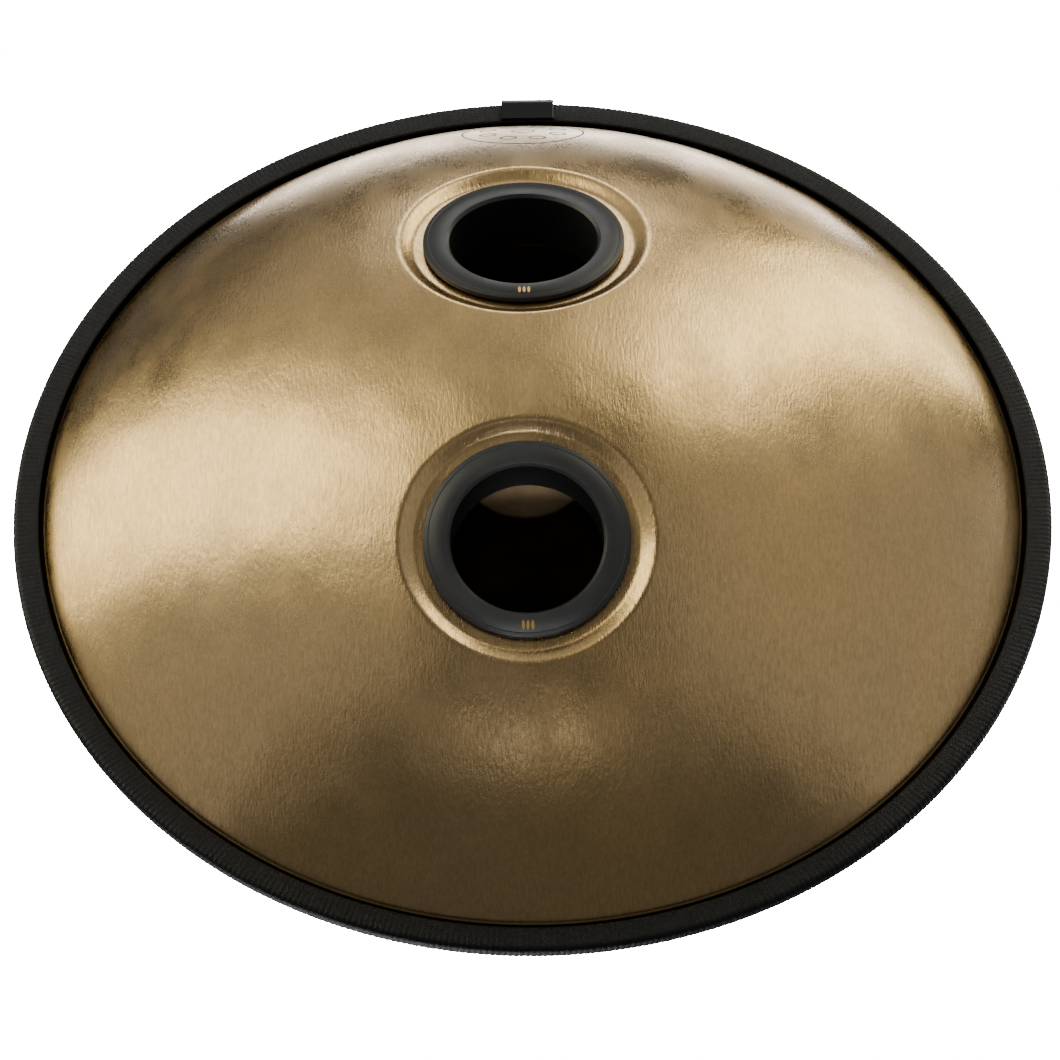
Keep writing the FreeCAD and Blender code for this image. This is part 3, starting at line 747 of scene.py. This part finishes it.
def build_trim(material):
    """Edge trim with its cross ribs."""
    half, channel = TRIM_HEIGHT / 2, FLANGE_TOP
    outline = rounded([
        (TRIM_INNER, half, TRIM_LIP_ROUND),
        (TRIM_RADIUS, half, TRIM_ROUND),
        (TRIM_RADIUS, -half, TRIM_ROUND),
        (TRIM_INNER, -half, TRIM_LIP_ROUND),
        (TRIM_INNER, -channel, 0.0),
        (TRIM_CHANNEL, -channel, 0.0),
        (TRIM_CHANNEL, channel, 0.0),
        (TRIM_INNER, channel, 0.0),
    ], steps=7)
    count = int(2 * math.pi * TRIM_RADIUS / RIB_PITCH)
    points, turn = spun(outline, count * RIB_POINTS, open_angle=TRIM_SPLIT / TRIM_RADIUS, start=math.pi / 2)
    rng = np.random.default_rng(SEED)
    strength = np.repeat(RIB_WEAKEST + (1 - RIB_WEAKEST) * rng.random(count), RIB_POINTS)
    wave = 0.5 - 0.5 * np.cos(turn * count)
    groove = RIB_DEPTH * strength * wave ** 2
    weight = np.clip((outline[:, 0] - TRIM_RADIUS + RIB_REACH) / RIB_RAMP, 0, 1)
    middle = np.array([TRIM_CHANNEL, 0.0])
    inward = middle - outline
    inward = inward / np.linalg.norm(inward, axis=1)[:, None]
    push = weight[:, None] * groove[None, :]
    points[..., 0] += push * inward[:, 0][:, None] * np.cos(turn)
    points[..., 1] += push * inward[:, 0][:, None] * np.sin(turn)
    points[..., 2] += push * inward[:, 1][:, None] + RIM_Z
    rows, columns = points.shape[:2]
    faces = grid_faces(rows, columns, closed=False, loop_rows=True)
    add_mesh("edge_trim", points.reshape(-1, 3), faces, material, node="rim_trim")


def ribbon(path, width, surface):
    """Points and faces of a closed line of some width drawn on a surface."""
    ahead = np.roll(path, -1, axis=0) - np.roll(path, 1, axis=0)
    ahead = ahead / np.linalg.norm(ahead, axis=1)[:, None]
    side = np.stack([-ahead[:, 1], ahead[:, 0]], axis=1) * width / 2
    flat = np.stack([path - side, path + side])
    points = surface(flat[..., 0], flat[..., 1])
    return points.reshape(-1, 3), grid_faces(2, len(path))


def oval(x, y, across, along, count=72):
    """Closed path round an ellipse."""
    t = np.arange(count) * 2 * math.pi / count
    return np.stack([x + across * np.cos(t), y + along * np.sin(t)], axis=1)


def build_chart(material):
    """Etched chart of the tone fields near the rim: a circle with a ring of ovals round a middle one."""
    middle = np.array(CHART_MIDDLE)

    def surface(x, y):
        points = bottom_surface(x, y)[0]
        points[..., 2] -= CHART_LIFT
        return points

    paths = [oval(*middle, CHART_RADIUS, CHART_RADIUS * CHART_TILT, count=160)]
    paths.append(oval(*middle, CHART_CENTRE[0], CHART_CENTRE[1] * CHART_TILT))
    for index in range(FIELD_COUNT):
        turn = index * 2 * math.pi / FIELD_COUNT + math.pi / FIELD_COUNT
        x, y = middle + [CHART_RING * math.cos(turn), CHART_RING * CHART_TILT * math.sin(turn)]
        paths.append(oval(x, y, CHART_OVAL[0], CHART_OVAL[1] * CHART_TILT))
    points, faces, first = [], [], 0
    for path in paths:
        p, f = ribbon(path, CHART_LINE, surface)
        points.append(p)
        faces += (f + first).tolist()
        first += len(p)
    add_mesh("field_chart", np.concatenate(points), faces, material, body="shell")


def finish_cad_nodes(materials):
    """Puts a material on each CAD node that is shown as it is."""
    for name, material in materials.items():
        mesh = frame["nodes"][name].data
        mesh.materials.clear()
        mesh.materials.append(material)


# ---- light, floor and camera ----------------------------------------------------------------------
def soft_box(name, place, aim, width, height, light, colour=(1, 1, 1)):
    """Area lamp of this radiance that lights and reflects, but isn't seen by the camera."""
    lamp = bpy.data.lights.new(name, "AREA")
    lamp.shape = "RECTANGLE"
    lamp.size, lamp.size_y = width, height
    lamp.energy = light * width * height * math.pi
    lamp.color = colour
    obj = bpy.data.objects.new(name, lamp)
    bpy.context.collection.objects.link(obj)
    obj.location = place
    obj.rotation_euler = (Vector(aim) - Vector(place)).to_track_quat("-Z", "Y").to_euler()
    obj.visible_camera = False


def build_world():
    """White to the camera, and a dim even light to everything else."""
    world = bpy.data.worlds.new("studio")
    bpy.context.scene.world = world
    world.use_nodes = True
    tree = world.node_tree
    tree.nodes.clear()
    path = tree.nodes.new("ShaderNodeLightPath")
    seen = tree.nodes.new("ShaderNodeBackground")
    seen.inputs["Color"].default_value = (1, 1, 1, 1)
    seen.inputs["Strength"].default_value = BACKDROP
    felt = tree.nodes.new("ShaderNodeBackground")
    felt.inputs["Color"].default_value = (0.95, 0.97, 1, 1)
    felt.inputs["Strength"].default_value = AMBIENT
    mixed = tree.nodes.new("ShaderNodeMixShader")
    out = tree.nodes.new("ShaderNodeOutputWorld")
    tree.links.new(path.outputs["Is Camera Ray"], mixed.inputs[0])
    tree.links.new(felt.outputs[0], mixed.inputs[1])
    tree.links.new(seen.outputs[0], mixed.inputs[2])
    tree.links.new(mixed.outputs[0], out.inputs["Surface"])


def build_floor():
    """Pale floor under the instrument, seen only from above."""
    bpy.ops.mesh.primitive_plane_add(size=14, location=(0, 0, -0.0004))
    floor = bpy.context.object
    floor.name = "floor"
    n = Nodes("floor")
    mottle = n.noise(n.object, 3.0, 3.0, 0.5)
    n.set(Base_Color=n.mix(mottle, (0.80, 0.80, 0.80, 1), (0.84, 0.84, 0.84, 1)), Roughness=0.6)
    back = n.tree.nodes.new("ShaderNodeNewGeometry").outputs["Backfacing"]
    clear = n.tree.nodes.new("ShaderNodeBsdfTransparent")
    mixed = n.tree.nodes.new("ShaderNodeMixShader")
    n.link(back, mixed.inputs[0])
    n.link(n.shader.outputs[0], mixed.inputs[1])
    n.link(clear.outputs[0], mixed.inputs[2])
    n.link(mixed.outputs[0], n.tree.nodes["Material Output"].inputs["Surface"])
    floor.data.materials.append(n.material)
    floor.visible_shadow = False
    floor.visible_diffuse = False
    floor.visible_glossy = False
    floor.visible_transmission = False


def build_camera():
    """Camera below and in front of the instrument, looking up at its bottom shell."""
    lean, roll = math.radians(CAMERA_LEAN), math.radians(CAMERA_ROLL)
    right = Vector((-1, 0, 0))
    down = Vector((0, -math.cos(lean), math.sin(lean)))
    ahead = Vector((0, math.sin(lean), math.cos(lean)))
    turned_right = right * math.cos(roll) - down * math.sin(roll)
    turned_down = right * math.sin(roll) + down * math.cos(roll)
    rim = Vector((0, 0, RIM_Z * MM))
    place = rim - turned_right * CAMERA_LEFT + turned_down * CAMERA_DOWN - ahead * CAMERA_DISTANCE
    data = bpy.data.cameras.new("camera")
    data.lens, data.sensor_width = CAMERA_LENS, CAMERA_SENSOR
    data.clip_start, data.clip_end = 0.05, 50
    camera = bpy.data.objects.new("camera", data)
    bpy.context.collection.objects.link(camera)
    turn = Matrix((turned_right, -turned_down, -ahead)).transposed().to_4x4()
    camera.matrix_world = Matrix.Translation(place) @ turn
    bpy.context.scene.camera = camera


def towards(azimuth, elevation, distance=LAMP_DISTANCE):
    """Place seen from the instrument at an azimuth from +Y towards +X and an elevation, in degrees."""
    a, e = math.radians(azimuth), math.radians(elevation)
    flat = distance * math.cos(e)
    return (flat * math.sin(a), flat * math.cos(a), MIDDLE_HEIGHT + distance * math.sin(e))


def panel(name, azimuth, elevation, width, height, light, distance=LAMP_DISTANCE, colour=(1, 1, 1)):
    """Soft box that faces the instrument."""
    place = towards(azimuth, elevation, distance)
    soft_box(name, place, (0, 0, MIDDLE_HEIGHT), width, height, light, colour)


def build_port_lamp():
    """Narrow lamp that shines in through the front port on the inside of the top shell."""
    lamp = bpy.data.lights.new("port_lamp", "SPOT")
    lamp.energy = PORT_LAMP_POWER
    lamp.spot_size = math.radians(PORT_LAMP_ANGLE)
    lamp.spot_blend = 0.05
    lamp.shadow_soft_size = 0.03
    obj = bpy.data.objects.new("port_lamp", lamp)
    bpy.context.collection.objects.link(obj)
    obj.location = towards(180, -45)
    axis = port_axis(PORTS["front"]) * FACE_LEVEL
    port = Vector((axis[0], axis[1], RIM_Z - CROWN_Z - axis[2])) * MM
    obj.rotation_euler = (port - obj.location).to_track_quat("-Z", "Y").to_euler()


def build_lights():
    """Tall soft boxes on both sides, bright ones behind, and light for the playing side."""
    panel("strip_right", -36, -15, 1.0, 4.4, 1.5, colour=WARM)
    panel("strip_left", 63, -24, 1.4, 5.4, 1.3, colour=WARM)
    panel("glow_right", -85, -28, 4.2, 5.6, 0.14)
    panel("glow_left", 98, -28, 2.8, 5.6, 0.14)
    panel("back_top", -3, 32, 1.9, 1.1, 1.5)
    panel("back_middle", 0, -15, 1.1, 1.1, 1.1)
    panel("back_wide", 8, -32, 6.0, 5.0, 0.15, 4.5)
    panel("front_low", 180, -50, 1.3, 0.45, 0.35)
    soft_box("top_box", (0.8, -1.4, 2.6), (0, 0, MIDDLE_HEIGHT), 2.4, 2.0, 1.2)
    soft_box("top_fill", (-2.2, 0.9, 1.7), (0, 0, 0.15), 1.5, 1.8, 0.5)
    build_port_lamp()


# ---- everything ---------------------------------------------------------------------------------
gold = brushed_gold(
    "brushed gold steel",
    base=(0.69, 0.487, 0.245, 1),
    dark=(0.33, 0.22, 0.11, 1),
    tint=(0.61, 0.45, 0.25, 1),
)
# painted shade: the shells' inside is the gold steel made darker
shaded_inner_steel = plain_metal("inside of the shells", (0.36, 0.27, 0.17, 1), 0.5)
ring_black = satin("ring plastic", (0.028, 0.028, 0.029, 1), 0.42, 4000.0, 0.000015, shine=0.7)
collar_black = satin("collar plastic", (0.016, 0.016, 0.018, 1), 0.45, 3000.0, 0.00002)
rubber = satin("gasket rubber", (0.012, 0.012, 0.012, 1), 0.7, 3500.0, 0.00003)
clip_black = satin("clip plastic", (0.010, 0.010, 0.011, 1), 0.16, 2500.0, 0.000008, 0.3)
glue = satin("cured adhesive", (0.05, 0.045, 0.04, 1), 0.5, 2000.0, 0.00003)
carrier = plain_metal("carrier steel", (0.45, 0.45, 0.46, 1), 0.35)
trim_black = leather("trim plastic", (0.010, 0.010, 0.011, 1))

build_shells(gold, shaded_inner_steel)
build_trim(trim_black)
for side, sign in PORTS.items():
    build_ring(side, sign, ring_black)
    build_gasket(side, sign, rubber)
    build_collar(side, sign, collar_black)
    build_mark(side, sign, gold_print(f"{side} mark"))
build_chart(etched("etched chart"))
finish_cad_nodes({
    "trim_joint_clip": clip_black,
    "trim_core": carrier,
    "rim_adhesive": glue,
    "front_collar_bond": glue,
    "rear_collar_bond": glue,
})

build_world()
build_floor()
build_camera()
build_lights()
view = bpy.context.scene.view_settings
view.view_transform = "AgX"
view.look = "AgX - Medium High Contrast"
view.exposure = 1.0
